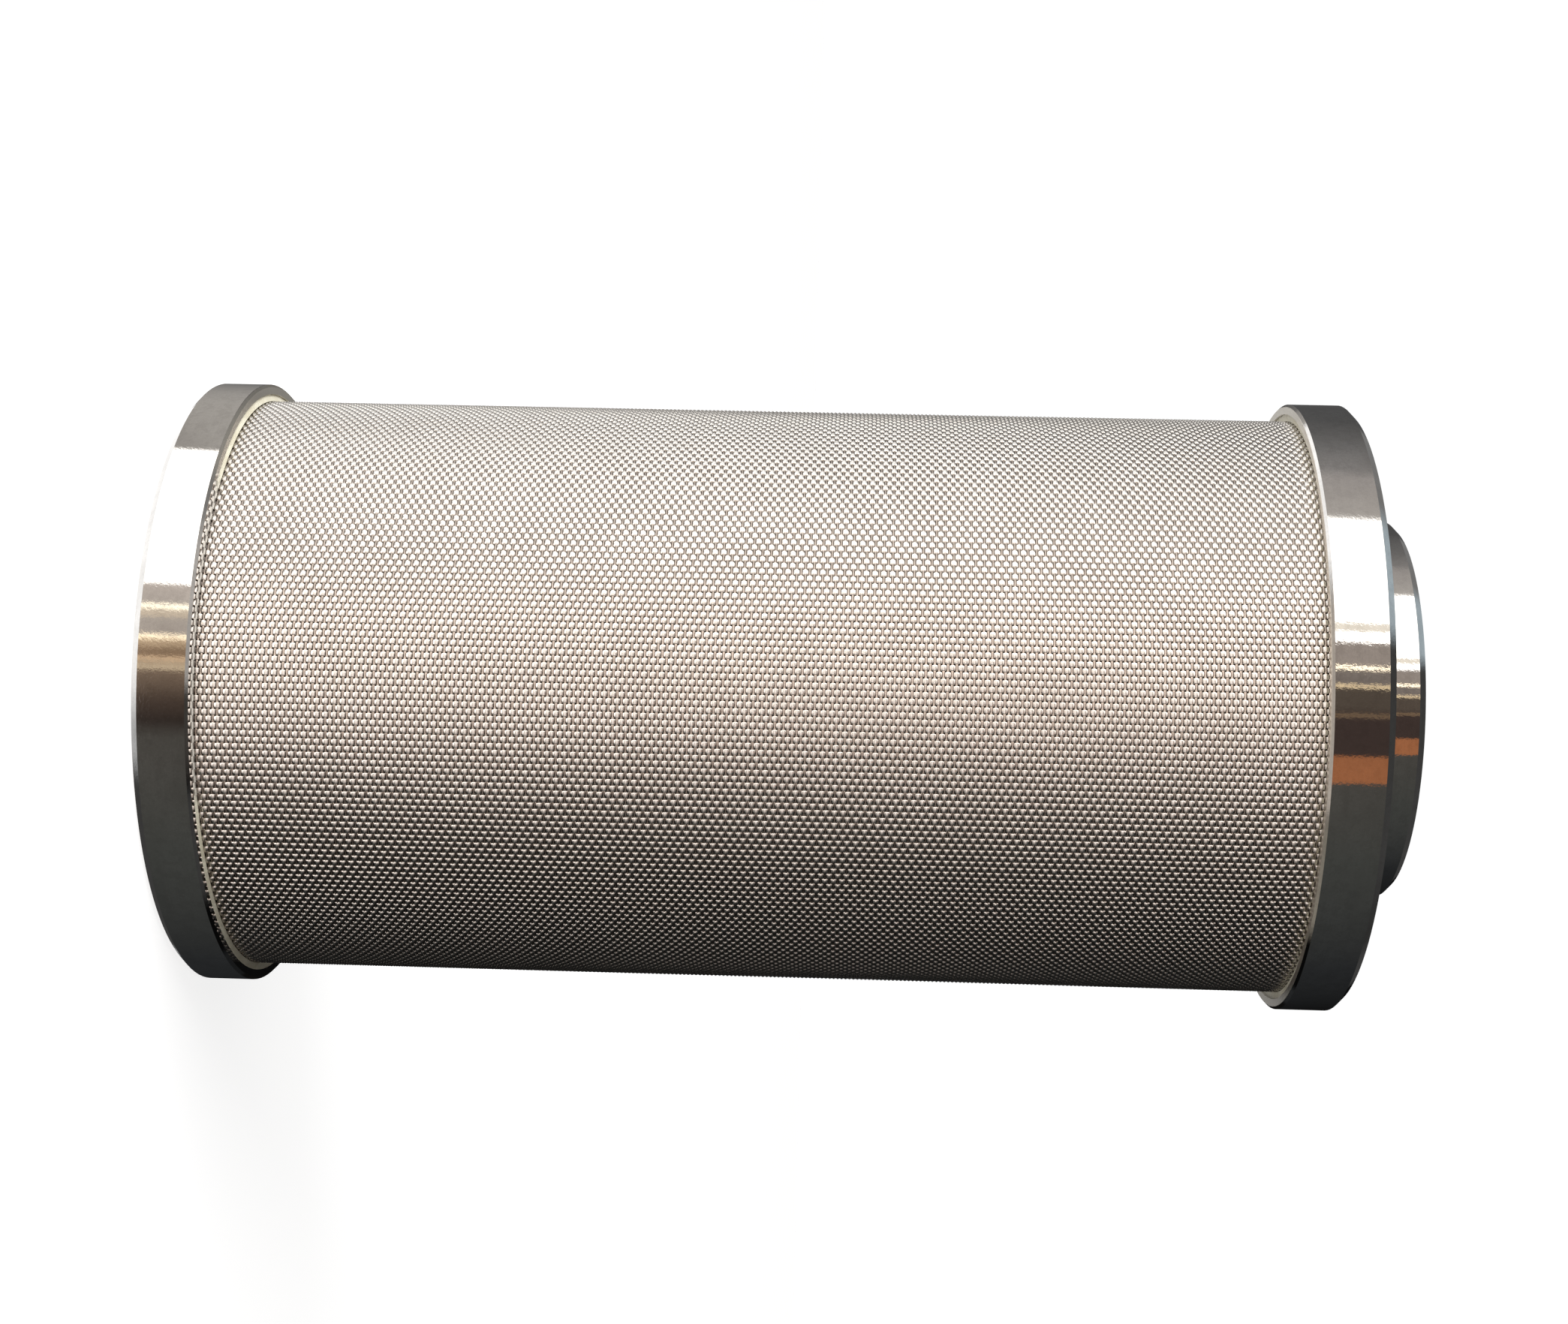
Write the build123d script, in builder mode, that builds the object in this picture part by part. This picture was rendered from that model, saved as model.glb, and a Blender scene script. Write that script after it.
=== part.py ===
from build123d import *
import math
import os

os.makedirs("parts", exist_ok=True)

# The element stands on its closed cap: +Z runs along its axis to the open end, sizes in millimetres

# End caps, turned from bar
cap_diameter = 80.0
closed_cap_height = 7.0
open_cap_height = 7.6
mesh_free_length = 134.4
outer_face_chamfer = 0.9
lip_chamfer = 0.35
lip_width = 1.3
channel_depth = 4.0
collar_width = 4.2
inner_recess_depth = 3.0
inner_recess_fillet = 1.0

# Boss, bore and seal groove of the open cap
boss_diameter = 49.6
boss_height = 7.0
boss_chamfer = 0.9
boss_wall = 5.8
bore_lead_in = 1.0
bore_inner_chamfer = 0.5
groove_depth = 2.85
groove_width = 4.6
groove_top_land = 1.6

# Seal ring, drawn at the section that a spigot squeezes it to
seal_radial_section = 2.7
seal_axial_section = 4.0

# Woven outer mesh: every second axial wire is a ridge on one wall
mesh_wall = 1.0
ridge_height = 0.4
ridge_pitch = 1.65
gap_rows = 8
gap_columns = 14
gap_width = 0.8
gap_length = 9.0
gap_margin = 8.0
seam_width = 3.2
seam_angle = 90.0

# Layers under the outer mesh, from the outside in
layer_gap = 0.05
cloth_thickness = 0.35
drainage_thickness = 0.8
core_wall = 1.0
core_hole_diameter = 9.0
core_hole_columns = 10
core_hole_rows = 6
core_hole_margin = 14.0

# Adhesive that holds the layers in the channel of each cap
bead_width = 0.9
bead_rise = 0.1
bead_shrink = 0.3
adhesive_film = 0.8
core_to_collar_gap = 0.3
inner_bead_drop = 0.6

# How far a cutter runs past each side of a wall, and how closely an edge is picked out
cutter_overrun = 1.0
pick_tolerance = 0.001

# Heights that follow from the sizes above
closed_lip_face = closed_cap_height
open_lip_face = closed_lip_face + mesh_free_length
open_shoulder = open_lip_face + open_cap_height
boss_top = open_shoulder + boss_height
closed_channel_floor = closed_lip_face - channel_depth
open_channel_floor = open_lip_face + channel_depth
layer_bottom = closed_channel_floor + adhesive_film
layer_top = open_channel_floor - adhesive_film
layer_length = layer_top - layer_bottom

# Radii that follow, from the rim inwards
cap_radius = cap_diameter / 2
channel_outer_radius = cap_radius - lip_width
mesh_outer_radius = channel_outer_radius - bead_width
mesh_valley_radius = mesh_outer_radius - ridge_height
mesh_inner_radius = mesh_outer_radius - mesh_wall
cloth_outer_radius = mesh_inner_radius - layer_gap
cloth_inner_radius = cloth_outer_radius - cloth_thickness
drainage_outer_radius = cloth_inner_radius - layer_gap
drainage_inner_radius = drainage_outer_radius - drainage_thickness
core_outer_radius = drainage_inner_radius - layer_gap
core_inner_radius = core_outer_radius - core_wall
collar_radius = core_inner_radius - core_to_collar_gap
boss_radius = boss_diameter / 2
bore_radius = boss_radius - boss_wall


# The circular edges of one radius at one height of a turned piece
def turned_edges(piece, radius, height):
    circles = piece.edges().filter_by(GeomType.CIRCLE)
    same_height = circles.filter_by(lambda edge: abs(edge.center().Z - height) < pick_tolerance)
    return same_height.filter_by(lambda edge: abs(edge.radius - radius) < pick_tolerance)


# An outline with a ridge for each wire, alternating crest and valley
def ridged_outline(crest_radius, valley_radius, pitch):
    ridges = round(2 * math.pi * crest_radius / pitch)
    step = 2 * math.pi / ridges
    points = []
    for ridge in range(ridges):
        crest = ridge * step
        valley = crest + step / 2
        points.append((crest_radius * math.cos(crest), crest_radius * math.sin(crest)))
        points.append((valley_radius * math.cos(valley), valley_radius * math.sin(valley)))
    return points


# Planes that face outwards round the axis, a quarter of a step off +X and half a step apart row by row
def staggered_planes(columns, rows, first_height, row_pitch, radius):
    quarter_step = 2 * math.pi / (4 * columns)
    planes = []
    for row in range(rows):
        for column in range(columns):
            turn = quarter_step * (4 * column + 2 * (row % 2) + 1)
            outward = Vector(math.cos(turn), math.sin(turn), 0)
            centre = outward * radius + Vector(0, 0, first_height + row * row_pitch)
            planes.append(Plane(origin=centre, x_dir=(0, 0, 1), z_dir=outward))
    return planes


# Closed end cap: a disc with a channel for the layers and a shallow recess inside its collar
with BuildPart() as end_cap_closed:
    with BuildSketch(Plane.XY):
        Circle(cap_radius)
    extrude(amount=closed_cap_height)
    with BuildSketch(Plane.XY.offset(closed_channel_floor)):
        Circle(channel_outer_radius)
        Circle(collar_radius, mode=Mode.SUBTRACT)
    extrude(amount=channel_depth, mode=Mode.SUBTRACT)
    recess_floor = closed_lip_face - inner_recess_depth
    recess_radius = collar_radius - collar_width
    with BuildSketch(Plane.XY.offset(recess_floor)):
        Circle(recess_radius)
    extrude(amount=inner_recess_depth, mode=Mode.SUBTRACT)
    fillet(turned_edges(end_cap_closed, recess_radius, recess_floor), inner_recess_fillet)
    chamfer(turned_edges(end_cap_closed, cap_radius, 0), outer_face_chamfer)
    chamfer(turned_edges(end_cap_closed, cap_radius, closed_lip_face), lip_chamfer)
end_cap_closed.part.label = "end_cap_closed"
export_step(end_cap_closed.part, "parts/end_cap_closed.step")

# Open end cap: the same rim and channel, with a boss bored through and grooved for the seal
with BuildPart() as end_cap_open:
    with BuildSketch(Plane.XY.offset(open_lip_face)):
        Circle(cap_radius)
    extrude(amount=open_cap_height)
    with BuildSketch(Plane.XY.offset(open_shoulder)):
        Circle(boss_radius)
    extrude(amount=boss_height)
    with BuildSketch(Plane.XY.offset(open_lip_face)):
        Circle(channel_outer_radius)
        Circle(collar_radius, mode=Mode.SUBTRACT)
    extrude(amount=channel_depth, mode=Mode.SUBTRACT)
    with BuildSketch(Plane.XY.offset(open_lip_face)):
        Circle(bore_radius)
    extrude(amount=open_cap_height + boss_height, mode=Mode.SUBTRACT)
    groove_top = boss_top - bore_lead_in - groove_top_land
    groove_bottom = groove_top - groove_width
    with BuildSketch(Plane.XY.offset(groove_bottom)):
        Circle(bore_radius + groove_depth)
    extrude(amount=groove_width, mode=Mode.SUBTRACT)
    chamfer(turned_edges(end_cap_open, cap_radius, open_shoulder), outer_face_chamfer)
    chamfer(turned_edges(end_cap_open, cap_radius, open_lip_face), lip_chamfer)
    chamfer(turned_edges(end_cap_open, boss_radius, boss_top), boss_chamfer)
    chamfer(turned_edges(end_cap_open, bore_radius, boss_top), bore_lead_in)
    chamfer(turned_edges(end_cap_open, bore_radius, open_lip_face), bore_inner_chamfer)
end_cap_open.part.label = "end_cap_open"
export_step(end_cap_open.part, "parts/end_cap_open.step")

# Outer mesh: one wall with a ridge for each wire, open gaps between ridges, and a welded lap seam
with BuildPart() as outer_mesh:
    with BuildSketch(Plane.XY.offset(layer_bottom)):
        with BuildLine():
            Polyline(*ridged_outline(mesh_outer_radius, mesh_valley_radius, ridge_pitch), close=True)
        make_face()
        Circle(mesh_inner_radius, mode=Mode.SUBTRACT)
    extrude(amount=layer_length)
    first_gap = closed_lip_face + gap_margin + gap_length / 2
    last_gap = open_lip_face - gap_margin - gap_length / 2
    gap_row_pitch = (last_gap - first_gap) / (gap_rows - 1)
    cut_start = mesh_inner_radius - cutter_overrun
    gap_planes = staggered_planes(gap_columns, gap_rows, first_gap, gap_row_pitch, cut_start)
    with BuildSketch(*gap_planes):
        Rectangle(gap_length, gap_width)
    extrude(amount=mesh_wall + 2 * cutter_overrun, mode=Mode.SUBTRACT)
    with BuildSketch(Plane.XY.offset(layer_bottom)):
        with Locations(Location((0, 0, 0), (0, 0, seam_angle))):
            with Locations((mesh_outer_radius - mesh_wall / 2, 0)):
                Rectangle(mesh_wall, seam_width)
        Circle(mesh_outer_radius, mode=Mode.INTERSECT)
        Circle(mesh_inner_radius, mode=Mode.SUBTRACT)
    extrude(amount=layer_length)
outer_mesh.part.label = "outer_mesh"
export_step(outer_mesh.part, "parts/outer_mesh.step")

# Filter cloth: the fine woven layer that does the filtering
with BuildPart() as filter_cloth:
    with BuildSketch(Plane.XY.offset(layer_bottom)):
        Circle(cloth_outer_radius)
        Circle(cloth_inner_radius, mode=Mode.SUBTRACT)
    extrude(amount=layer_length)
filter_cloth.part.label = "filter_cloth"
export_step(filter_cloth.part, "parts/filter_cloth.step")

# Drainage mesh: the coarse layer that keeps the cloth off the core
with BuildPart() as drainage_mesh:
    with BuildSketch(Plane.XY.offset(layer_bottom)):
        Circle(drainage_outer_radius)
        Circle(drainage_inner_radius, mode=Mode.SUBTRACT)
    extrude(amount=layer_length)
drainage_mesh.part.label = "drainage_mesh"
export_step(drainage_mesh.part, "parts/drainage_mesh.step")

# Core tube: the perforated support inside the layers
with BuildPart() as core_tube:
    with BuildSketch(Plane.XY.offset(layer_bottom)):
        Circle(core_outer_radius)
        Circle(core_inner_radius, mode=Mode.SUBTRACT)
    extrude(amount=layer_length)
    first_hole = closed_lip_face + core_hole_margin
    last_hole = open_lip_face - core_hole_margin
    hole_row_pitch = (last_hole - first_hole) / (core_hole_rows - 1)
    cut_start = core_inner_radius - cutter_overrun
    hole_planes = staggered_planes(core_hole_columns, core_hole_rows, first_hole, hole_row_pitch, cut_start)
    with BuildSketch(*hole_planes):
        Circle(core_hole_diameter / 2)
    extrude(amount=core_wall + 2 * cutter_overrun, mode=Mode.SUBTRACT)
core_tube.part.label = "core_tube"
export_step(core_tube.part, "parts/core_tube.step")

# Adhesive in the closed cap: a film under the layers, a bead outside that climbs to the mesh, one inside
with BuildPart() as adhesive_closed_end:
    with BuildSketch(Plane.XZ):
        with BuildLine():
            Polyline(
                (collar_radius, closed_channel_floor),
                (channel_outer_radius, closed_channel_floor),
                (channel_outer_radius, closed_lip_face - bead_shrink),
                (mesh_outer_radius, closed_lip_face + bead_rise),
                (mesh_outer_radius, layer_bottom),
                (core_inner_radius, layer_bottom),
                (core_inner_radius, closed_lip_face - inner_bead_drop),
                (collar_radius, closed_lip_face - inner_bead_drop),
                close=True,
            )
        make_face()
    revolve(axis=Axis.Z)
adhesive_closed_end.part.label = "adhesive_closed_end"
export_step(adhesive_closed_end.part, "parts/adhesive_closed_end.step")

# Adhesive in the open cap: the same section, shrunk a little below the lip
with BuildPart() as adhesive_open_end:
    with BuildSketch(Plane.XZ):
        with BuildLine():
            Polyline(
                (collar_radius, open_channel_floor),
                (channel_outer_radius, open_channel_floor),
                (channel_outer_radius, open_lip_face + bead_shrink),
                (mesh_outer_radius, open_lip_face + bead_shrink),
                (mesh_outer_radius, layer_top),
                (core_inner_radius, layer_top),
                (core_inner_radius, open_lip_face + inner_bead_drop),
                (collar_radius, open_lip_face + inner_bead_drop),
                close=True,
            )
        make_face()
    revolve(axis=Axis.Z)
adhesive_open_end.part.label = "adhesive_open_end"
export_step(adhesive_open_end.part, "parts/adhesive_open_end.step")

# Seal ring in the groove of the bore
with BuildPart() as bore_seal_ring:
    seal_centre_radius = bore_radius + groove_depth - seal_radial_section / 2
    seal_height = (groove_bottom + groove_top) / 2
    with BuildSketch(Plane.XZ):
        with Locations((seal_centre_radius, seal_height)):
            Ellipse(seal_radial_section / 2, seal_axial_section / 2)
    revolve(axis=Axis.Z)
bore_seal_ring.part.label = "bore_seal_ring"
export_step(bore_seal_ring.part, "parts/bore_seal_ring.step")
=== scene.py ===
import math

import bpy
import numpy as np
from mathutils import Matrix, Vector


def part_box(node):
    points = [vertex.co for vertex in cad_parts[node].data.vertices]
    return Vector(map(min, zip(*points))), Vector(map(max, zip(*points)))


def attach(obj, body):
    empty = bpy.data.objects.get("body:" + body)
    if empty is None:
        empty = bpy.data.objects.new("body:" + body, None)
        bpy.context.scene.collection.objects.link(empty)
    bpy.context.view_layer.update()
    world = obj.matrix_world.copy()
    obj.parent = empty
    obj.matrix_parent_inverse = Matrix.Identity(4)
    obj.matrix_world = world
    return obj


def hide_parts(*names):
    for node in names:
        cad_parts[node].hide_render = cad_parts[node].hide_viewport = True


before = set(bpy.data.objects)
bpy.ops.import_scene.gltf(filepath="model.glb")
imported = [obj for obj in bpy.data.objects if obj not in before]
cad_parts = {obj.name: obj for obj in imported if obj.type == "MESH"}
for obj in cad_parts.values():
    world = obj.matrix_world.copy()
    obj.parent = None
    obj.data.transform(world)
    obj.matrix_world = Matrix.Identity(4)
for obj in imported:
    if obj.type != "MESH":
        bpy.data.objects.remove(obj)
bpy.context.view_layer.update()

MM = 0.001
CAPS = ("end_cap_closed", "end_cap_open")
CLOSED_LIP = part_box("end_cap_closed")[1][2]
OPEN_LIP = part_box("end_cap_open")[0][2]
CREST_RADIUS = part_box("outer_mesh")[1][0]
RIM_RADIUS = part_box("end_cap_closed")[1][0]


# Shader maths: a signal is one output socket, and arithmetic on signals adds Math nodes

class Signal:
    def __init__(self, tree, socket):
        self.tree = tree
        self.socket = socket

    def math(self, operation, *values):
        return node(self.tree, "ShaderNodeMath", {"operation": operation}, dict(enumerate(values)))

    def __add__(self, other):
        return self.math("ADD", self, other)

    __radd__ = __add__

    def __sub__(self, other):
        return self.math("SUBTRACT", self, other)

    def __rsub__(self, other):
        return self.math("SUBTRACT", other, self)

    def __mul__(self, other):
        return self.math("MULTIPLY", self, other)

    __rmul__ = __mul__

    def __truediv__(self, other):
        return self.math("DIVIDE", self, other)

    def __pow__(self, other):
        return self.math("POWER", self, other)

    def __abs__(self):
        return self.math("ABSOLUTE", self)

    def __gt__(self, other):
        return self.math("GREATER_THAN", self, other)

    def __lt__(self, other):
        return self.math("LESS_THAN", self, other)

    def cosine(self):
        return self.math("COSINE", self)

    def root(self):
        return self.math("SQRT", self)

    # Smooth rise from 0 at low to 1 at high
    def rise(self, low, high):
        settings = {"interpolation_type": "SMOOTHSTEP"}
        return node(self.tree, "ShaderNodeMapRange", settings, {0: self, 1: low, 2: high})


# Adds one node: its settings first, then the value or link of each named or numbered socket
def node(tree, kind, settings=None, inputs=None, output=0):
    made = tree.nodes.new(kind)
    for name, value in (settings or {}).items():
        if name == "stops":
            ramp = made.color_ramp
            while len(ramp.elements) < len(value):
                ramp.elements.new(1.0)
            for element, (place, colour) in zip(ramp.elements, value):
                element.position = place
                element.color = (*colour, 1.0)
        else:
            setattr(made, name, value)
    for name, value in (inputs or {}).items():
        if isinstance(value, Signal):
            tree.links.new(value.socket, made.inputs[name])
        else:
            made.inputs[name].default_value = value
    return Signal(tree, made.outputs[output]) if len(made.outputs) else None


def mix_colour(tree, share, first, second):
    first = first if isinstance(first, Signal) else (*first, 1.0)
    second = second if isinstance(second, Signal) else (*second, 1.0)
    return node(tree, "ShaderNodeMix", {"data_type": "RGBA"}, {0: share, 6: first, 7: second}, output=2)


def vector(tree, x, y, z):
    return node(tree, "ShaderNodeCombineXYZ", None, {0: x, 1: y, 2: z})


def noise(tree, place, scale, detail=2.0, roughness=0.5):
    inputs = {"Vector": place, "Scale": scale, "Detail": detail, "Roughness": roughness}
    return node(tree, "ShaderNodeTexNoise", None, inputs)


# The place of a shaded point in metres, as x, y, z and the distance from the element's axis
def place_on_element(tree):
    place = node(tree, "ShaderNodeTexCoord", None, None, output=3)
    x = node(tree, "ShaderNodeSeparateXYZ", None, {0: place}, output=0)
    y = node(tree, "ShaderNodeSeparateXYZ", None, {0: place}, output=1)
    z = node(tree, "ShaderNodeSeparateXYZ", None, {0: place}, output=2)
    return place, x, y, z, (x * x + y * y).root()


def new_finish(name, **constants):
    finish = bpy.data.materials.new(name)
    finish.use_nodes = True
    tree = finish.node_tree
    shader = tree.nodes["Principled BSDF"]
    for socket, value in constants.items():
        shader.inputs[socket.replace("_", " ")].default_value = value
    return finish, tree, shader


def feed(tree, shader, **signals):
    for socket, signal in signals.items():
        tree.links.new(signal.socket, shader.inputs[socket.replace("_", " ")])


def bump(tree, height, distance, strength=1.0):
    return node(tree, "ShaderNodeBump", None, {"Strength": strength, "Distance": distance, "Height": height})


# One over the band of the closed cap's bead where the weave's dark gaps and light domes are painted on as shade and
# reflection, by the share of the radius along x
def painted_weave_band(x, z, radius):
    across = x / radius
    return across.rise(-0.70, -0.60) * across.rise(0.40, 0.32) * (0.05 - z > 0.0)


# Light and dark of the weave: one over each dome, zero between them
def weave_domes(tree, x, y, z):
    round_axis = node(tree, "ShaderNodeMath", {"operation": "ARCTAN2"}, {0: y, 1: x})
    wave_round = (round_axis * (AXIAL_WIRES / 2)).cosine()
    wave_along = ((z - FIRST_HOOP) * (math.pi / HOOP_PITCH)).cosine()
    return ((wave_along * ((wave_round > 0.0) * 2 - 1) + 1) * 0.5).root()


# Turned steel: fine tool marks that run round the axis, a soft sheen and a few light handling marks
def turned_steel():
    finish, tree, shader = new_finish("turned_steel", Metallic=1.0)
    place, x, y, z, radius = place_on_element(tree)
    along = z + radius * 0.7
    fine = noise(tree, vector(tree, x * 60, y * 60, along * 9000), 1.0, 3.0, 0.6)
    broad = noise(tree, vector(tree, x * 20, y * 20, along * 1500), 1.0, 2.0)
    grain = noise(tree, place, 3000.0, 2.0, 0.6)
    blotches = noise(tree, place, 700.0, 4.0, 0.7)
    handling = noise(tree, place, 90.0, 4.0, 0.6)
    marks = fine * 0.6 + broad * 0.4
    # A warm, rough tone on the lip faces and the closed lip's edge; at the closed end only on the side towards −x
    lip_faces = abs(z - CLOSED_LIP).rise(0.06 * MM, 0.02 * MM) + abs(z - OPEN_LIP).rise(0.06 * MM, 0.02 * MM)
    closed_edge = abs(z - CLOSED_LIP).rise(0.9 * MM, 0.8 * MM) * (RIM_RADIUS - 0.03 * MM - radius > 0.0)
    dull = lip_faces.math("MAXIMUM", lip_faces, closed_edge)
    dull = dull * dull.math("MAXIMUM", z > 0.05, (x / radius).rise(-0.60, -0.70))
    tone = mix_colour(tree, handling.rise(0.38, 0.62), (0.81, 0.79, 0.765), (0.70, 0.68, 0.655))
    tone = mix_colour(tree, (marks * 0.5 + grain * 0.5).rise(0.42, 0.60) * 0.3, tone, (0.62, 0.60, 0.58))
    tone = mix_colour(tree, blotches.rise(0.47, 0.62) * 0.35, tone, (0.58, 0.56, 0.54))
    tone = mix_colour(tree, dull * 0.8, tone, (0.78, 0.74, 0.66))
    feed(
        tree, shader,
        Base_Color=tone,
        Roughness=0.018 + marks * 0.03 + handling * 0.015 + dull * 0.35,
        Normal=bump(tree, marks * 0.1 + grain, 0.0035 * MM),
    )
    return finish


# Woven wire along the axis: each wire is domed where it passes over a hoop and dives between the domes, where a dark
# colour is painted as shade
def axial_wire_steel():
    finish, tree, shader = new_finish("axial_wire_steel", Metallic=1.0)
    place, x, y, z, radius = place_on_element(tree)
    dome = weave_domes(tree, x, y, z)
    patches = noise(tree, place, 160.0, 3.0)
    colour = mix_colour(tree, patches.rise(0.2, 0.8) * 0.5, (0.86, 0.835, 0.80), (0.80, 0.765, 0.72))
    # Painted shade: the wire's colour turns dark where it dives between the domes
    colour = mix_colour(tree, dome.rise(0.72, 0.45) * 0.96, colour, (0.14, 0.114, 0.10))
    feed(
        tree, shader,
        Base_Color=colour,
        Roughness=0.22 + patches * 0.06,
        Normal=bump(tree, dome, DOME_RISE * 0.7),
    )
    return finish


# Hoops lie under the domes, with a colour darker than the domes' steel painted on as the shade under them
def hoop_wire_painted_shade():
    finish, tree, shader = new_finish("hoop_wire_painted_shade", Metallic=1.0)
    place, x, y, z, radius = place_on_element(tree)
    patches = noise(tree, place, 160.0, 3.0)
    # Painted shade: a darker copy of the wire steel stands for the shade under the domes
    colour = mix_colour(tree, patches.rise(0.2, 0.8), (0.57, 0.50, 0.44), (0.47, 0.41, 0.36))
    feed(tree, shader, Base_Color=colour, Roughness=0.24 + patches * 0.1, Normal=bump(tree, patches, 0.02 * MM))
    return finish


# The pressed lap seam: roller ripples across it, with the flattened weave still to be seen
def pressed_steel():
    finish, tree, shader = new_finish("pressed_steel", Metallic=1.0)
    place, x, y, z, radius = place_on_element(tree)
    weave = (x * (math.pi / (0.41 * MM))).cosine() * (z * (math.pi / HOOP_PITCH)).cosine()
    ripples = (z * (2 * math.pi / (1.3 * MM))).cosine()
    heat = noise(tree, place, 260.0, 3.0)
    colour = mix_colour(tree, heat.rise(0.35, 0.7), (0.66, 0.62, 0.57), (0.50, 0.44, 0.37))
    height = weave * 0.4 + ripples * 0.4 + heat * 0.6
    feed(tree, shader, Base_Color=colour, Roughness=0.26 + heat * 0.16, Normal=bump(tree, height, 0.03 * MM))
    return finish


# Fine filter cloth under the outer mesh, seen through its gaps; its dark tone is partly painted shade for those gaps
def fine_cloth():
    finish, tree, shader = new_finish("fine_cloth", Metallic=0.3)
    place, x, y, z, radius = place_on_element(tree)
    round_axis = node(tree, "ShaderNodeMath", {"operation": "ARCTAN2"}, {0: y, 1: x})
    threads = (round_axis * 1200.0).cosine() * ((z * (math.pi / (0.11 * MM))).cosine())
    tint = noise(tree, place, 120.0, 3.0)
    # Thread pattern, in a tone kept dark as painted shade for the gaps under the weave
    colour = mix_colour(tree, threads.rise(-0.6, 0.8), (0.15, 0.125, 0.105), (0.26, 0.23, 0.20))
    colour = mix_colour(tree, tint.rise(0.4, 0.7) * 0.3, colour, (0.30, 0.24, 0.19))
    feed(tree, shader, Base_Color=colour, Roughness=0.42 + tint * 0.2, Normal=bump(tree, threads, 0.02 * MM))
    return finish


# Rolled core tube and the coarse layer round it
def rolled_steel():
    finish, tree, shader = new_finish("rolled_steel", Metallic=1.0)
    place, x, y, z, radius = place_on_element(tree)
    rolled = noise(tree, vector(tree, x * 900, y * 900, z * 60), 1.0, 3.0)
    colour = mix_colour(tree, rolled.rise(0.3, 0.7), (0.52, 0.51, 0.49), (0.40, 0.39, 0.375))
    feed(tree, shader, Base_Color=colour, Roughness=0.30 + rolled * 0.15, Normal=bump(tree, rolled, 0.004 * MM))
    return finish


# Cream resin with a soft gloss, a little cloudy and uneven, with the weave's shade and reflection painted on part of
# the closed end's bead
def cream_resin():
    finish, tree, shader = new_finish("cream_resin", Coat_Weight=0.25)
    place, x, y, z, radius = place_on_element(tree)
    cloud = noise(tree, place, 300.0, 3.0)
    waves = noise(tree, place, 900.0, 2.0)
    colour = mix_colour(tree, cloud.rise(0.35, 0.7), (0.72, 0.69, 0.56), (0.60, 0.56, 0.43))
    # Painted shade and reflection: the weave's dark gaps and light domes, painted on the bead over one band
    woven = mix_colour(tree, weave_domes(tree, x, y, z).rise(0.45, 0.85), (0.06, 0.05, 0.042), (0.62, 0.58, 0.52))
    colour = mix_colour(tree, painted_weave_band(x, z, radius), colour, woven)
    feed(tree, shader, Base_Color=colour, Roughness=0.32 + cloud * 0.25, Normal=bump(tree, waves, 0.12 * MM))
    return finish


def black_rubber():
    finish, tree, shader = new_finish("black_rubber")
    place, x, y, z, radius = place_on_element(tree)
    bloom = noise(tree, place, 250.0, 4.0)
    colour = mix_colour(tree, bloom.rise(0.4, 0.75), (0.012, 0.012, 0.013), (0.030, 0.029, 0.028))
    feed(tree, shader, Base_Color=colour, Roughness=0.42 + bloom * 0.2, Normal=bump(tree, bloom, 0.02 * MM))
    return finish


# Woven outer mesh: close wires along the axis go over and under thin hoops, one station at each crossing

AXIAL_WIRES = 288
HOOP_STATIONS = 144
HOOPS_ALONG = 258
HOOP_PITCH = (OPEN_LIP - CLOSED_LIP) / HOOPS_ALONG
HOOPS_IN_CHANNEL = 4
HOOPS = HOOPS_ALONG + 2 * HOOPS_IN_CHANNEL
FIRST_HOOP = CLOSED_LIP + HOOP_PITCH * (0.5 - HOOPS_IN_CHANNEL)
CREST_WIDTH, DIP_WIDTH, HOOP_WIDTH = 0.80 * MM, 0.52 * MM, 0.40 * MM
AXIAL_TOP, HOOP_TOP = 0.25 * MM, 0.12 * MM
DIP_DEPTH = 0.30 * MM
CREST_CENTRE = CREST_RADIUS - AXIAL_TOP - 0.01 * MM
HOOP_CENTRE = CREST_RADIUS - 0.34 * MM
DOME_RISE = 0.12 * MM
SEAM_HALF_WIDTH = 1.6 * MM

# Section of a wire by its corners: how far aside in wire widths, how far outwards in the height of its
# top, and the lean of the normal in degrees
AXIAL_SECTION = ((-0.5, -0.2, -60.0), (-0.38, 0.95, -14.0), (0.38, 0.95, 14.0), (0.5, -0.2, 60.0))
HOOP_SECTION = ((-0.5, -0.4, -70.0), (0.0, 1.0, 0.0), (0.5, -0.4, 70.0))
AXIAL_PIECES, HOOP_PIECES = 4, 2


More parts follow.
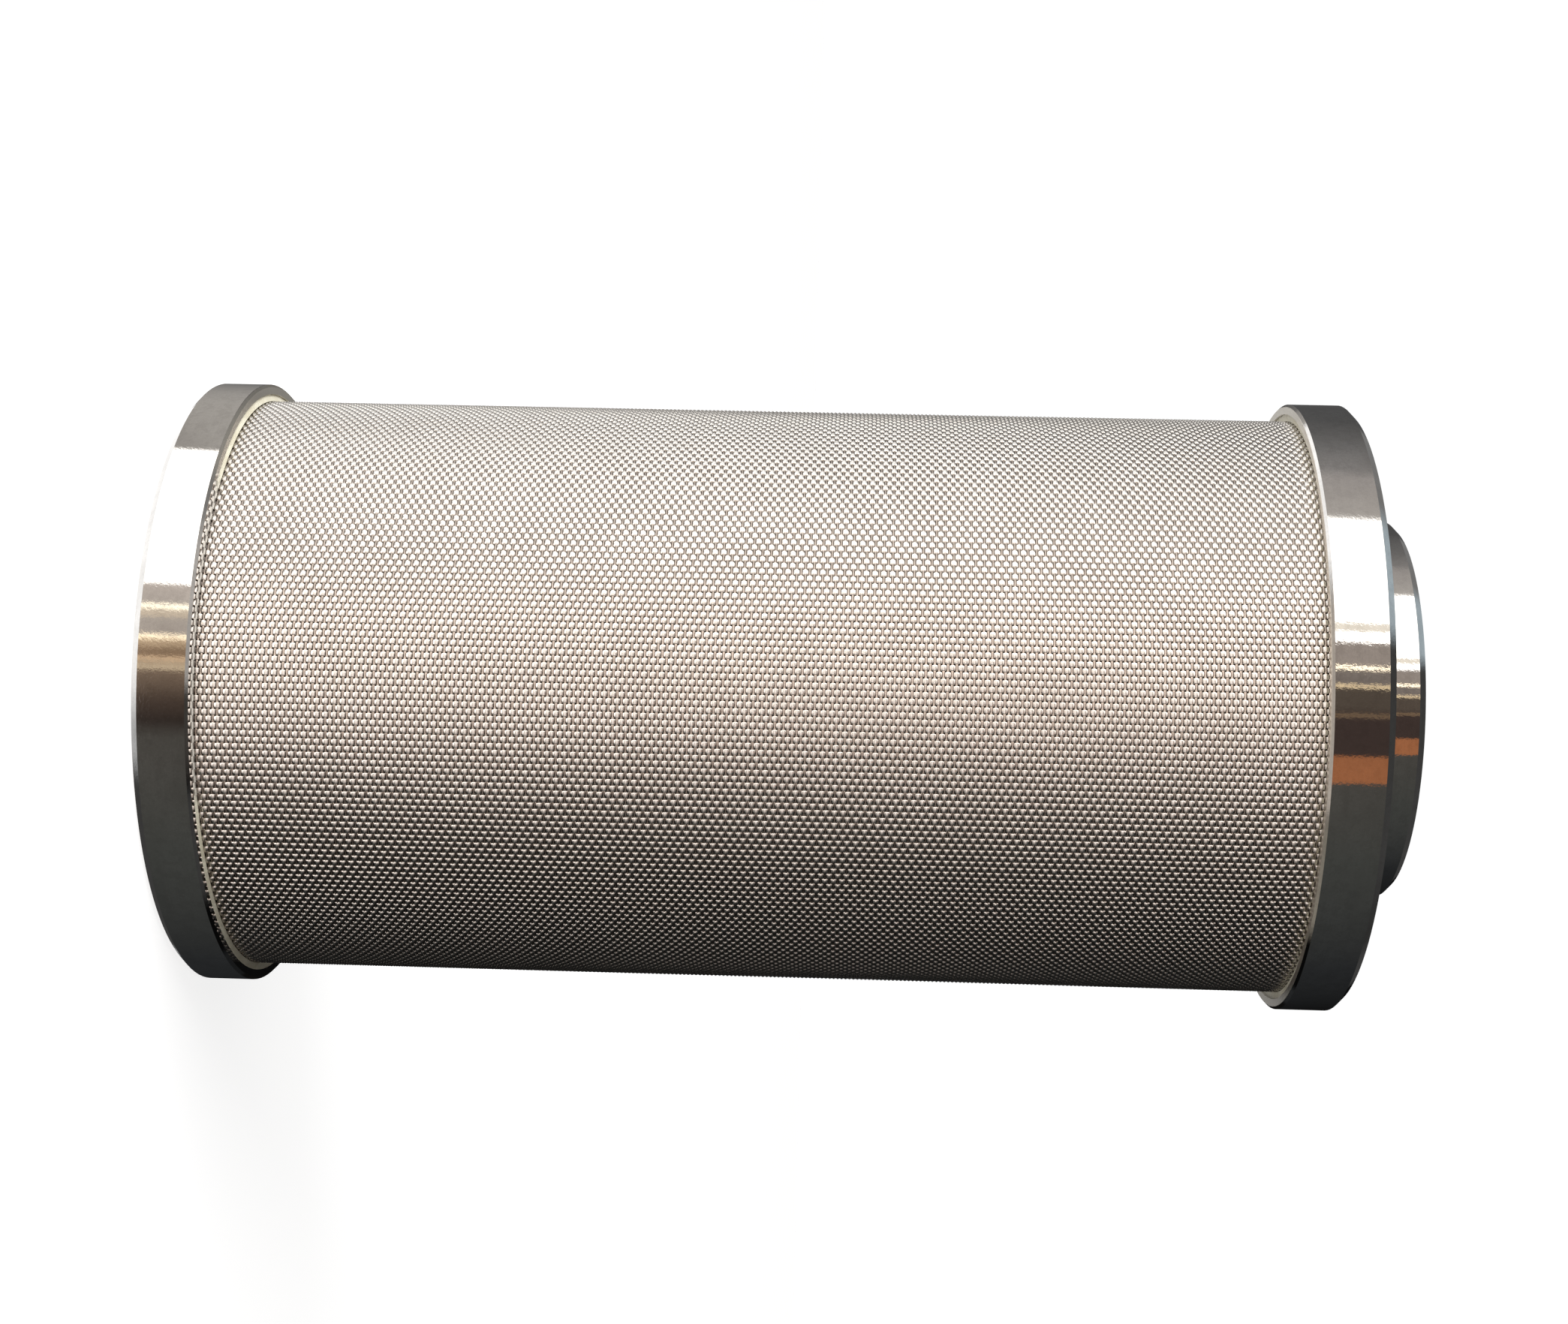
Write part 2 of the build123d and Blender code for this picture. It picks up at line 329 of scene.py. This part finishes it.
# One mesh of wires from their centre lines and the outward and sideways directions at each station
def wires_piece(name, section, centre, outward, sideways, width, top, closed, finish):
    wires, stations = centre.shape[:2]
    corners, normals = [], []
    for aside, out, lean in section:
        corners.append(centre + sideways * (aside * width)[..., None] + outward * (out * top))
        lean = math.radians(lean)
        normals.append(outward * math.cos(lean) + sideways * math.sin(lean))
    points = np.stack(corners, axis=2).reshape(-1, 3)
    normals = np.stack(normals, axis=2).reshape(-1, 3)
    index = np.arange(len(points)).reshape(wires, stations, len(section))
    after = np.roll(index, -1, axis=1)
    if closed:
        index_from, index_to = index, after
    else:
        index_from, index_to = index[:, :-1], after[:, :-1]
    quads = np.stack(
        [index_from, np.roll(index_from, -1, axis=2), np.roll(index_to, -1, axis=2), index_to], axis=-1
    ).reshape(-1, 4)
    faces = quads.tolist()
    if not closed:
        faces += index[:, 0, ::-1].tolist()
        faces += index[:, -1].tolist()
    mesh = bpy.data.meshes.new(name)
    mesh.from_pydata(points.tolist(), [], faces)
    mesh.update()
    mesh.shade_smooth()
    mesh.normals_split_custom_set_from_vertices(normals.tolist())
    mesh.materials.append(finish)
    piece = bpy.data.objects.new(name, mesh)
    bpy.context.collection.objects.link(piece)
    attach(piece, "root")
    return piece


def directions(turn, shape):
    outward = np.zeros((*shape, 3))
    outward[..., 0], outward[..., 1] = np.cos(turn), np.sin(turn)
    tangent = np.zeros((*shape, 3))
    tangent[..., 0], tangent[..., 1] = -np.sin(turn), np.cos(turn)
    return outward, tangent


# Wires along the axis, every fourth one in a piece: over the even crossings and under the odd ones
def axial_wires(name, part, finish):
    wire = np.arange(part, AXIAL_WIRES, AXIAL_PIECES)[:, None]
    hoop = np.arange(HOOPS)[None, :]
    over = (wire + hoop) % 2 == 0
    outward, tangent = directions(2 * np.pi * wire / AXIAL_WIRES, over.shape)
    centre = outward * np.where(over, CREST_CENTRE, CREST_CENTRE - DIP_DEPTH)[..., None]
    centre[..., 2] = FIRST_HOOP + hoop * HOOP_PITCH
    width = np.where(over, CREST_WIDTH, DIP_WIDTH)
    return wires_piece(name, AXIAL_SECTION, centre, outward, tangent, width, AXIAL_TOP, False, finish)


# Wires round the axis, every second one in a piece, each a closed hoop
def hoop_wires(name, part, finish):
    hoop = np.arange(part, HOOPS, HOOP_PIECES)[:, None]
    station = np.arange(HOOP_STATIONS)[None, :]
    shape = (len(hoop), HOOP_STATIONS)
    outward, tangent = directions(2 * np.pi * station / HOOP_STATIONS, shape)
    centre = outward * HOOP_CENTRE
    centre[..., 2] = FIRST_HOOP + hoop * HOOP_PITCH
    down = np.zeros(outward.shape)
    down[..., 2] = -1.0
    width = np.full(shape, HOOP_WIDTH)
    return wires_piece(name, HOOP_SECTION, centre, outward, down, width, HOOP_TOP, True, finish)


# Where the mesh's two ends lap at the back: a strip pressed flat along the sleeve, with rounded, uneven edges
def lap_seam():
    low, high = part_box("outer_mesh")[0][2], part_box("outer_mesh")[1][2]
    across = np.array([-1.0, -0.98, -0.9, -0.6, 0.0, 0.6, 0.9, 0.98, 1.0, 0.9, 0.0, -0.9])
    depth = np.array([0.35, 0.12, 0.02, 0.0, 0.0, 0.0, 0.02, 0.12, 0.35, 0.6, 0.6, 0.6]) * MM
    stations = int((high - low) / (0.8 * MM))
    z = np.linspace(low, high, stations)[:, None]
    uneven = 1 + 0.03 * np.sin(z * 700) + 0.02 * np.sin(z * 1900 + 1)
    turn = np.pi / 2 + across[None, :] * uneven * SEAM_HALF_WIDTH / CREST_RADIUS
    reach = CREST_RADIUS - depth[None, :] + 0 * z
    points = np.stack([reach * np.cos(turn), reach * np.sin(turn), z + 0 * reach], axis=-1).reshape(-1, 3)
    index = np.arange(len(points)).reshape(stations, len(across))
    after = np.roll(index, -1, axis=1)
    faces = np.stack([index[:-1], after[:-1], after[1:], index[1:]], axis=-1).reshape(-1, 4)[:, ::-1].tolist()
    faces += [index[0].tolist(), index[-1, ::-1].tolist()]
    mesh = bpy.data.meshes.new("lap_seam")
    mesh.from_pydata(points.tolist(), [], faces)
    mesh.update()
    mesh.shade_smooth()
    mesh.materials.append(pressed_steel())
    piece = bpy.data.objects.new("lap_seam", mesh)
    bpy.context.collection.objects.link(piece)
    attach(piece, "root")
    return piece


axial_steel = axial_wire_steel()
hoop_shaded_steel = hoop_wire_painted_shade()
woven = [axial_wires("axial_wires_%d" % (part + 1), part, axial_steel) for part in range(AXIAL_PIECES)]
woven += [hoop_wires("hoop_wires_%d" % (part + 1), part, hoop_shaded_steel) for part in range(HOOP_PIECES)]
woven.append(lap_seam())
for piece in woven:
    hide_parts("outer_mesh")


# Finishes of the CAD nodes that stay

finishes = {
    "end_cap_closed": turned_steel(),
    "filter_cloth": fine_cloth(),
    "drainage_mesh": rolled_steel(),
    "adhesive_closed_end": cream_resin(),
    "bore_seal_ring": black_rubber(),
}
finishes["end_cap_open"] = finishes["end_cap_closed"]
finishes["core_tube"] = finishes["drainage_mesh"]
finishes["adhesive_open_end"] = finishes["adhesive_closed_end"]
for name, finish in finishes.items():
    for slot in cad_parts[name].material_slots:
        slot.material = finish


# Studio: a white floor and surroundings, which the metal sees as a bright bank above and dark below

def pale_floor():
    floor_mesh = bpy.data.meshes.new("floor")
    reach = 3.0
    floor_mesh.from_pydata(
        [(-reach, -reach, 0), (reach, -reach, 0), (reach, reach, 0), (-reach, reach, 0)], [], [(0, 1, 2, 3)]
    )
    floor = bpy.data.objects.new("floor", floor_mesh)
    bpy.context.collection.objects.link(floor)
    paint = bpy.data.materials.new("floor_paint")
    paint.use_nodes = True
    tree = paint.node_tree
    tree.nodes.clear()
    matt = node(tree, "ShaderNodeBsdfDiffuse", None, {"Color": (0.38, 0.38, 0.38, 1.0)})
    glow = node(tree, "ShaderNodeEmission", None, {"Color": (1.0, 1.0, 1.0, 1.0), "Strength": 0.80})
    both = node(tree, "ShaderNodeAddShader", None, {0: matt, 1: glow})
    plain = node(tree, "ShaderNodeBsdfDiffuse", None, {"Color": (0.75, 0.75, 0.75, 1.0)})
    seen = seen_ray(tree)
    shown = node(tree, "ShaderNodeMixShader", None, {0: seen, 1: plain, 2: both})
    node(tree, "ShaderNodeOutputMaterial", None, {"Surface": shown})
    floor_mesh.materials.append(paint)
    floor.visible_glossy = False
    return floor


# One where a ray comes from the camera, a reflection or glass
def seen_ray(tree):
    camera = node(tree, "ShaderNodeLightPath", None, None, output="Is Camera Ray")
    glossy = node(tree, "ShaderNodeLightPath", None, None, output="Is Glossy Ray")
    through = node(tree, "ShaderNodeLightPath", None, None, output="Is Transmission Ray")
    return (camera + glossy + through).math("MINIMUM", camera + glossy + through, 1.0)


def share_of_turn(degrees):
    return (degrees + 180.0) / 360.0


def surroundings():
    world = bpy.data.worlds.new("studio")
    bpy.context.scene.world = world
    world.use_nodes = True
    tree = world.node_tree
    tree.nodes.clear()
    towards = node(tree, "ShaderNodeTexCoord", None, None, output=0)
    x = node(tree, "ShaderNodeSeparateXYZ", None, {0: towards}, output=0)
    y = node(tree, "ShaderNodeSeparateXYZ", None, {0: towards}, output=1)
    z = node(tree, "ShaderNodeSeparateXYZ", None, {0: towards}, output=2)
    turn = node(tree, "ShaderNodeMath", {"operation": "ARCTAN2"}, {0: 0 - x, 1: 0 - y})
    slanted = (turn + z * (0.175 + 0.43 * turn)) * (180 / math.pi)
    ramp_place = (slanted + 180) / 360
    bands = [
        (-180, (0.004, 0.004, 0.004)), (-120, (0.024, 0.026, 0.028)), (-60, (0.062, 0.065, 0.061)),
        (-21, (0.084, 0.079, 0.071)), (-15.5, (0.042, 0.032, 0.027)), (-9, (0.082, 0.058, 0.045)),
        (-5, (0.15, 0.108, 0.080)),
        (0, (0.25, 0.18, 0.13)), (1, (0.76, 0.61, 0.42)), (2.7, (0.68, 0.53, 0.36)),
        (3.1, (0.36, 0.25, 0.17)),
        (3.6, (0.86, 0.62, 0.40)), (5, (0.80, 0.56, 0.35)), (5.6, (0.33, 0.22, 0.14)), (8, (0.36, 0.25, 0.16)),
        (8.6, (0.62, 0.46, 0.30)), (10.6, (0.70, 0.52, 0.34)), (11, (1.9, 1.6, 1.15)), (11.8, (1.8, 1.5, 1.1)),
        (12.3, (0.52, 0.46, 0.41)), (17.2, (0.55, 0.49, 0.435)), (17.8, (0.75, 0.63, 0.49)),
        (20, (0.80, 0.68, 0.54)), (20.4, (2.2, 1.95, 1.55)), (21.2, (2.1, 1.9, 1.5)),
        (21.7, (0.58, 0.52, 0.47)), (28.3, (0.66, 0.585, 0.53)), (28.9, (2.4, 2.36, 2.29)),
    ]
    upper_bands = [
        (0, (2.4, 2.36, 2.29)), (82, (2.4, 2.36, 2.29)), (83.2, (0.52, 0.49, 0.46)), (104, (0.42, 0.395, 0.38)),
        (110, (0.27, 0.26, 0.255)), (125, (0.18, 0.177, 0.176)), (150, (0.095, 0.095, 0.096)),
        (170, (0.084, 0.084, 0.085)),
    ]
    mesh_bands = [
        (-180, (0.004, 0.004, 0.004)), (-85, (0.008, 0.007, 0.006)), (-65, (0.052, 0.046, 0.042)),
        (-48, (0.36, 0.318, 0.297)), (-30, (0.92, 0.82, 0.767)), (-14, (1.20, 1.09, 1.025)), (0, (1.28, 1.185, 1.115)),
        (25, (1.30, 1.235, 1.175)), (40, (1.40, 1.365, 1.315)), (55, (1.45, 1.425, 1.39)), (100, (1.33, 1.315, 1.29)),
        (120, (0.85, 0.83, 0.815)), (140, (0.18, 0.175, 0.17)), (170, (0.09, 0.088, 0.086)),
    ]
    stops = [(share_of_turn(degrees), colour) for degrees, colour in mesh_bands]
    over_mesh = node(tree, "ShaderNodeValToRGB", {"stops": stops}, {0: ramp_place})
    stops = [(share_of_turn(degrees), colour) for degrees, colour in bands]
    low = node(tree, "ShaderNodeValToRGB", {"stops": stops}, {0: ramp_place})
    stops = [(share_of_turn(degrees), colour) for degrees, colour in upper_bands]
    high = node(tree, "ShaderNodeValToRGB", {"stops": stops}, {0: ramp_place})
    middle = abs(z + 0.02).rise(0.195, 0.14)
    open_end = z.rise(-0.15, 0.10)
    low = mix_colour(tree, open_end * slanted.rise(32.6, 33.2) * slanted.rise(36.8, 36.2), low, (1.08, 1.0, 0.87))
    low = mix_colour(tree, open_end * slanted.rise(28.5, 28.2) * slanted.rise(-16, -15) * 0.65, low, (0.07, 0.05, 0.045))
    low = mix_colour(tree, open_end * slanted.rise(10.6, 11.0) * slanted.rise(12.3, 11.9), low, (0.98, 0.77, 0.48))
    low = mix_colour(tree, open_end * slanted.rise(19.4, 19.8) * slanted.rise(28.6, 28.2), low, (0.37, 0.32, 0.285))
    low = mix_colour(tree, open_end * slanted.rise(17.7, 18.1) * slanted.rise(19.5, 19.1), low, (2.2, 1.9, 1.45))
    low = mix_colour(tree, open_end * slanted.rise(10.8, 10.2) * slanted.rise(-16, -14), low, (0.060, 0.042, 0.037))
    low = mix_colour(tree, open_end * slanted.rise(10.8, 10.2) * slanted.rise(-1.0, 4.0), low, (0.105, 0.083, 0.066))
    low = mix_colour(tree, open_end * slanted.rise(-1.2, -0.6) * slanted.rise(1.2, 0.6), low, (0.20, 0.135, 0.085))
    low = mix_colour(tree, open_end * slanted.rise(-27.0, -26.6) * slanted.rise(-15.7, -16.1), low, (0.395, 0.152, 0.068))
    high = mix_colour(tree, (1 - open_end) * slanted.rise(83.0, 83.4) * slanted.rise(160.0, 108.0), high, (0.43, 0.41, 0.385))
    banded = mix_colour(tree, slanted > 40.0, low, high)
    banded = mix_colour(tree, middle, banded, over_mesh)
    end_bank = mix_colour(tree, turn.rise(-0.85, 0.21), (0.003, 0.003, 0.003), (2.4, 2.20, 2.07))
    end_bank = mix_colour(tree, turn.rise(0.4, 1.2), end_bank, (0.5, 0.48, 0.46))
    far_end = z.rise(-0.1, 0.1)
    behind = y.rise(-0.08, 0.08)
    above = (0 - x + 0.2 - far_end * 0.385).rise(-0.04, 0.04)
    lit_near = mix_colour(tree, x.rise(-0.05, 0.15), (1.25, 1.25, 1.25), (0.50, 0.51, 0.52))
    lit_far = mix_colour(tree, y.rise(0.48, 0.60), (0.42, 0.50, 0.55), (0.22, 0.22, 0.22))
    lit_far = mix_colour(tree, x.rise(-0.36, -0.50), lit_far, (0.26, 0.255, 0.245))
    lit_pole = mix_colour(tree, far_end, lit_near, lit_far)
    outer_chamfers = mix_colour(tree, above, (0.055, 0.055, 0.055), lit_pole)
    lower_lips = x.rise(0.36, 0.46) * y.rise(-0.20, -0.12) * abs(z).rise(0.6, 0.7)
    end_bank = mix_colour(tree, behind * x.rise(0.45, 0.36), end_bank, outer_chamfers)
    near_pole = mix_colour(tree, x.rise(-0.04, 0.08), (0.46, 0.44, 0.42), (0.06, 0.055, 0.05))
    near_pole = mix_colour(tree, far_end, (0.50, 0.45, 0.40), near_pole)
    pole = mix_colour(tree, behind, near_pole, outer_chamfers)
    overhead = (z > 0.5) * y.rise(0.34, 0.44) * abs(x).rise(0.25, 0.15)
    glow = mix_colour(tree, abs(z - 0.02).rise(0.33, 0.40), banded, end_bank)
    glow = mix_colour(tree, abs(z).rise(0.88, 0.94), glow, pole)
    glow = mix_colour(tree, overhead, glow, (0.85, 0.845, 0.83))
    glow = mix_colour(tree, lower_lips, glow, mix_colour(tree, far_end, (0.24, 0.22, 0.185), (0.05, 0.05, 0.05)))
    camera = node(tree, "ShaderNodeLightPath", None, None, output="Is Camera Ray")
    glossy = node(tree, "ShaderNodeLightPath", None, None, output="Is Glossy Ray")
    through = node(tree, "ShaderNodeLightPath", None, None, output="Is Transmission Ray")
    soft = mix_colour(tree, (0 - x).rise(-0.6, 0.9), (0.01, 0.01, 0.01), (1.30, 1.28, 1.25))
    colour = mix_colour(tree, glossy, soft, glow)
    colour = mix_colour(tree, (camera + through).rise(0.0, 1.0), colour, (1.02, 1.02, 1.02))
    background = node(tree, "ShaderNodeBackground", None, {"Color": colour, "Strength": 1.0})
    node(tree, "ShaderNodeOutputWorld", None, {"Surface": background})


def softbox(name, place, target, size, power):
    light = bpy.data.lights.new(name, "AREA")
    light.shape = "RECTANGLE"
    light.size, light.size_y = size
    light.energy = power
    lamp = bpy.data.objects.new(name, light)
    bpy.context.collection.objects.link(lamp)
    back = (Vector(place) - Vector(target)).normalized()
    lamp.visible_glossy = False
    lamp.matrix_world = Matrix.Translation(place) @ back.to_track_quat("Z", "Y").to_matrix().to_4x4()


# Camera: its place follows from a fit to the cap edges in the photograph

def photo_camera():
    image_width = 2089
    focal_pixels = 3092
    aim_height = 76.18 * MM
    distance = 312.0 * MM
    drop = 4.316 * MM
    yaw, roll = 0.0373, 0.024
    along = Vector((math.cos(yaw) * math.cos(roll), math.cos(yaw) * math.sin(roll), -math.sin(yaw)))
    front = Vector((0, 0, -1))
    front = (front - along * front.dot(along)).normalized()
    side = along.cross(front)
    to_world = Matrix((side, -front, along))
    place = Vector((0, 0, aim_height)) - to_world @ Vector((0, drop, distance))
    turned = Matrix((
        to_world @ Vector((1, 0, 0)), to_world @ Vector((0, -1, 0)), to_world @ Vector((0, 0, -1)),
    )).transposed()
    data = bpy.data.cameras.new("photo_camera")
    data.sensor_fit = "HORIZONTAL"
    data.sensor_width = 36.0
    data.lens = data.sensor_width * focal_pixels / image_width
    data.clip_start = 0.01
    camera = bpy.data.objects.new("photo_camera", data)
    bpy.context.collection.objects.link(camera)
    camera.matrix_world = Matrix.Translation(place) @ turned.to_4x4()
    bpy.context.scene.camera = camera


pale_floor()
surroundings()
softbox("top_bank", (-0.55, -0.35, 0.35), (0, 0, 0.08), (0.6, 0.5), 6.0)
photo_camera()
bpy.context.scene.view_settings.view_transform = "Standard"
